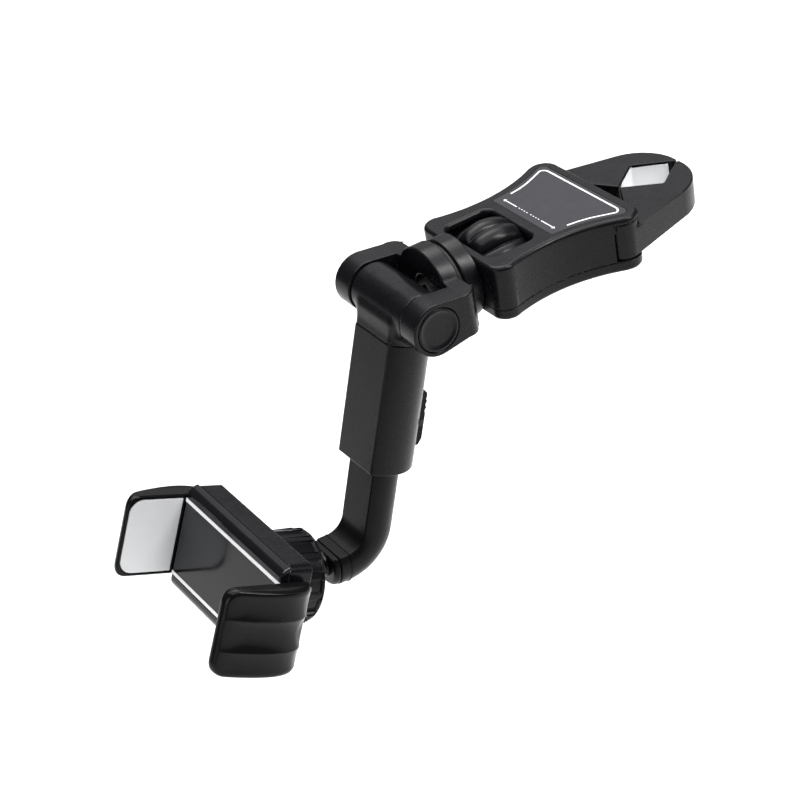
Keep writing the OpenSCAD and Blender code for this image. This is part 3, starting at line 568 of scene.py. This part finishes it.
def clamp_field(x, u, n):
    hollow = sum(depth * np.clip(1 - ((u - mid) / half) ** 2, 0, 1) for mid, half, depth in HOLLOWS)
    fade = np.clip((x - GRIP_X - FADE_START) / FADE_LENGTH, 0, 1)
    hollow = hollow * fade * fade * (3 - 2 * fade)
    outer = polygon_field(x - GRIP_X, n, OUTER_CURVE) + hollow
    outer = np.maximum(outer, -6)
    half_u = PLATE_HALF + PLATE_FLARE * np.clip((x - GRIP_X) / PLATE_REACH, 0, 1)
    middle = (GRIP_TOP + GRIP_BACK) / 2
    half_n = (GRIP_TOP - GRIP_BACK) / 2
    end_r = np.where(n > middle, TOP_R, BACK_R)
    frame_edge = rounded_rect(n - middle, u, half_n, half_u, end_r)
    body = both(outer, frame_edge, 2.0)
    body = both(body, GRIP_X - x, 0.7)
    pad = rounded_rect(u, n - PAD_MID, *PAD_HALF, np.where(n > 9, 4.6, 0.3))
    return without(body, both(pad, x - GRIP_X - PAD_DEPTH), 0.25)


RAIL_Y, RAIL_IN, RAIL_Z, RAIL_T = 11.0, 6.3, -8.7, 3.0
RAIL_START, RAIL_END, LUG, LUG_Y, TOOTH, TOOTH_TIP = -19, 30, (-11, -9), -13.9, math.pi, -4.25


def rail_outline():
    """Toothed rail with the lug that the return spring pulls."""
    tooth = ((-1, -RAIL_IN), (-0.35, TOOTH_TIP), (0.35, TOOTH_TIP), (1, -RAIL_IN))
    teeth = [(i * TOOTH + x, y) for i in range(-5, 2) for x, y in tooth]
    lug = [(LUG[0], -RAIL_Y), (LUG[0], LUG_Y), (LUG[1], LUG_Y), (LUG[1], -RAIL_Y)]
    far_end = [(RAIL_END, -RAIL_Y), (RAIL_END, -RAIL_IN)]
    return [(RAIL_START, -RAIL_Y)] + lug + far_end + teeth[::-1] + [(RAIL_START, -RAIL_IN)]


def add_clamp_arms():
    plate = solid(clamp_field, (28.2, -14.6, -10.2), (37.2, 14.6, 20.4), 0.42)
    rail = prism(rail_outline(), RAIL_Z, RAIL_Z + RAIL_T)
    add_piece("clamp_arm_right_moulding", [plate, rail], CRADLE, "right_clamp", "clamp_black",
              ["clamp_arm_right"])
    add_piece("clamp_arm_left_moulding", [plate, rail], CRADLE @ HALF_TURN, "left_clamp", "clamp_black",
              ["clamp_arm_left"])


# ---- arm head: barrel round the hinge bolt, D-shaped block and the tongue that enters the sleeve ----
BARREL_R, BARREL_Y, HEAD_SHIFT, BOLT_R = 7.9, 13.4, 0.6, 2.52
BLOCK_R, BLOCK_FLAT, BLOCK_TOP, BLOCK_END = 11.6, 7.6, 2, 9
TONGUE_R, TONGUE_FLAT, TONGUE = 7.6, 4.6, (8, 15)


def head_field(x, y, z):
    from_middle = np.hypot(x - HEAD_SHIFT, y)
    barrel = both(np.hypot(x, z) - BARREL_R, np.abs(y) - BARREL_Y, 0.6)
    side = both(from_middle - BLOCK_R, x - BLOCK_FLAT, 0.9)
    # the rear of the block is cut back, clear of the fork ring
    rear_cut = -(x + BARREL_R + 0.45 * (z - 1.9)) / 1.1
    block = both(both(side, BLOCK_TOP - z, 1.5), rear_cut, 0.8)
    body = both(either(barrel, block, 2.6), z - BLOCK_END, 0.12)
    tongue = both(from_middle - TONGUE_R, x - TONGUE_FLAT, 0.3)
    tongue = both(tongue, np.maximum(TONGUE[0] - z, z - TONGUE[1]), 0.3)
    body = np.minimum(body, tongue)
    return without(body, np.hypot(x, z) - BOLT_R, 0.2)


def add_head():
    head = solid(head_field, (-12.6, -14.4, -8.8), (8.8, 14.4, 15.8))
    add_piece("arm_head_moulding", [head], ARM, "upper_arm", "black_plastic", ["arm_head"])


# ---- thumbwheel: a crowned barrel with finger lobes ----
WHEEL_B, WHEEL_LEN, WHEEL_R, LOBES = -50.8, 15.8, 12.1, 9
CROWN_DROP, CROWN_INSET, CROWN_STEPS, LOBE_POWER, LOBE_START = 1.35, 1.6, 16, 0.55, 0.5
RIM = [(0, 4.0), (0, 8.2), (0.15, 9.2), (0.55, 9.9), (1.1, 10.35)]
# share of the radius that a groove takes, growing from the rim inwards
GROOVE_DEPTH = (0.0, 0.0, 0.05, 0.12, 0.16)


def add_thumbwheel():
    crown = []
    for i in range(CROWN_STEPS + 1):
        t = i / CROWN_STEPS
        x = CROWN_INSET + (WHEEL_LEN - 2 * CROWN_INSET) * t
        crown.append((x, WHEEL_R - CROWN_DROP * (2 * t - 1) ** 2))
    profile = RIM + crown + [(WHEEL_LEN - x, r) for x, r in RIM[::-1]]

    def lobes(a, i):
        from_rim = min(i, len(profile) - 1 - i, len(GROOVE_DEPTH) - 1)
        wave = abs(math.cos(LOBES * a / 2 + LOBE_START)) ** LOBE_POWER
        return 1 - GROOVE_DEPTH[from_rim] * (1 - wave)

    part = lathe([(WHEEL_B - WHEEL_LEN + x, r) for x, r in profile], 288, lobes)
    add_piece("thumbwheel_grip", [part], WORLD, "wheel", "black_plastic", ["thumbwheel"])


# ---- printed lines on the label: an open bracket and a two-headed arrow ----
LABEL_TOP, PRINT_T, ARROW_X, DASH = 8.85, 0.03, -44.0, 0.6


def ribbon(path, width, z):
    """Thin raised line along a path of (x, y) points."""
    points, faces = [], []
    n = len(path)
    for i, p in enumerate(path):
        a = Vector(path[max(i - 1, 0)])
        b = Vector(path[min(i + 1, n - 1)])
        d = (b - a).normalized()
        side = Vector((-d.y, d.x)) * width / 2
        for offset, height in ((side, z), (-side, z), (-side, z + PRINT_T), (side, z + PRINT_T)):
            points.append((p[0] + offset.x, p[1] + offset.y, height))
        if i:
            k = 4 * (i - 1)
            faces += [[k + 4 + j, k + 4 + (j + 1) % 4, k + (j + 1) % 4, k + j] for j in range(4)]
    faces += [[0, 1, 2, 3], [4 * n - 1, 4 * n - 2, 4 * n - 3, 4 * n - 4]]
    return sharp(points, faces)


def add_label_print():
    turn = np.radians(np.linspace(95, 12, 7))
    corner = [(-26.6 + 2.2 * math.sin(a), 17.0 + 2.3 * math.cos(a)) for a in turn]
    side = [(-30.0, 17.4), (-33.5, 15.9), (-37.0, 14.9), (-40.5, 14.3)]
    parts = []
    for s in (1, -1):
        bracket = [(x, s * y) for x, y in [(-24.4, 0)] + corner + side]
        shaft = [(ARROW_X, s * 6.2), (ARROW_X, s * 12.6)]
        head = [(ARROW_X - 0.5, s * 12.0), (ARROW_X, s * 12.9), (ARROW_X + 0.5, s * 12.0)]
        parts.append(ribbon(bracket, 0.6, LABEL_TOP))
        parts.append(ribbon(shaft, 0.35, LABEL_TOP))
        for k in range(4):
            y = 5.2 - 1.3 * k
            parts.append(ribbon([(ARROW_X, s * y), (ARROW_X, s * (y - DASH))], 0.3, LABEL_TOP))
        parts.append(ribbon(head, 0.3, LABEL_TOP))
    add_piece("label_print", parts, WORLD, "clip", "print_white", ())


# ---- hinge caps: a raised rim round a slightly hollow disc ----
EAR_OUT, CAP_R, CAP_BACK, EYE_R = 21.9, 6.8, -1.7, 0.01


def add_hinge_caps():
    # height over the ear and distance in from the edge, across the rim
    rim = ((-0.5, 0), (-0.2, 0.08), (0.0, 0.3), (0.05, 0.6), (0.0, 0.95), (-0.2, 1.2), (-0.35, 1.5),
           (-0.42, 2.2))
    profile = [(CAP_BACK, EYE_R), (CAP_BACK, CAP_R)] + [(x, CAP_R - inset) for x, inset in rim]
    part = lathe(profile + [(-0.5, 2.4), (-0.52, 0.12), (-0.52, EYE_R)])
    for s, side in ((1, "left"), (-1, "right")):
        place = axes_matrix((HINGE[0], s * EAR_OUT, 0), (0, s, 0), (-s, 0, 0), (0, 0, 1))
        add_piece("hinge_cap_%s_disc" % side, [part], place, "fork", "black_plastic", ["hinge_cap_" + side])


# ---- CAD nodes: merged corners, flat faces joined, edges broken ----
EDGE = {"yoke": 0.5, "swivel_neck": 0.5, "sleeve": 0.45, "jaw_left": 0.5, "jaw_right": 0.5, "slide_arm": 0.3,
        "end_collar": 0.5, "ring_nut": 0.35, "back_cover": 0.3, "lock_lever": 0.5, "label_plate": 0.0,
        "trim_strips": 0.05, "clamp_pad_left": 0.25, "clamp_pad_right": 0.25, "jaw_pad_left": 0.2,
        "jaw_pad_right": 0.2}
SMALL_EDGE, WELD_GAP, FLAT_ANGLE, EDGE_ANGLE = 0.15, 0.002, math.radians(0.1), math.radians(32)
# nodes whose bevels may pass over short edges
FREE_BEVEL = ("yoke", "swivel_neck", "sleeve", "jaw_left", "jaw_right", "slide_arm", "back_cover", "ring_nut",
              "end_collar")


def break_edges(obj, width_mm):
    weld = obj.modifiers.new("weld", "WELD")
    weld.merge_threshold = WELD_GAP * MM
    flat = obj.modifiers.new("flat", "DECIMATE")
    flat.decimate_type = "DISSOLVE"
    flat.angle_limit = FLAT_ANGLE
    if width_mm:
        bevel = obj.modifiers.new("bevel", "BEVEL")
        bevel.width = width_mm * MM
        bevel.segments = 3
        bevel.limit_method = "ANGLE"
        bevel.angle_limit = EDGE_ANGLE
        bevel.use_clamp_overlap = obj.name not in FREE_BEVEL
        bevel.miter_outer = "MITER_ARC"
    even = obj.modifiers.new("even", "WEIGHTED_NORMAL")
    even.weight = 100


def finish_cad_nodes():
    for name, obj in nodes.items():
        obj.data.materials.clear()
        obj.data.materials.append(MATERIALS[LOOK_OF.get(name, SLOT_OF[name])])
        for polygon in obj.data.polygons:
            polygon.use_smooth = True
            polygon.material_index = 0
        break_edges(obj, EDGE.get(name, SMALL_EDGE))


add_camera()
add_studio()
finish_cad_nodes()
add_covers()
add_front_cover()
add_clamp_arms()
add_head()
add_thumbwheel()
add_label_print()
add_hinge_caps()
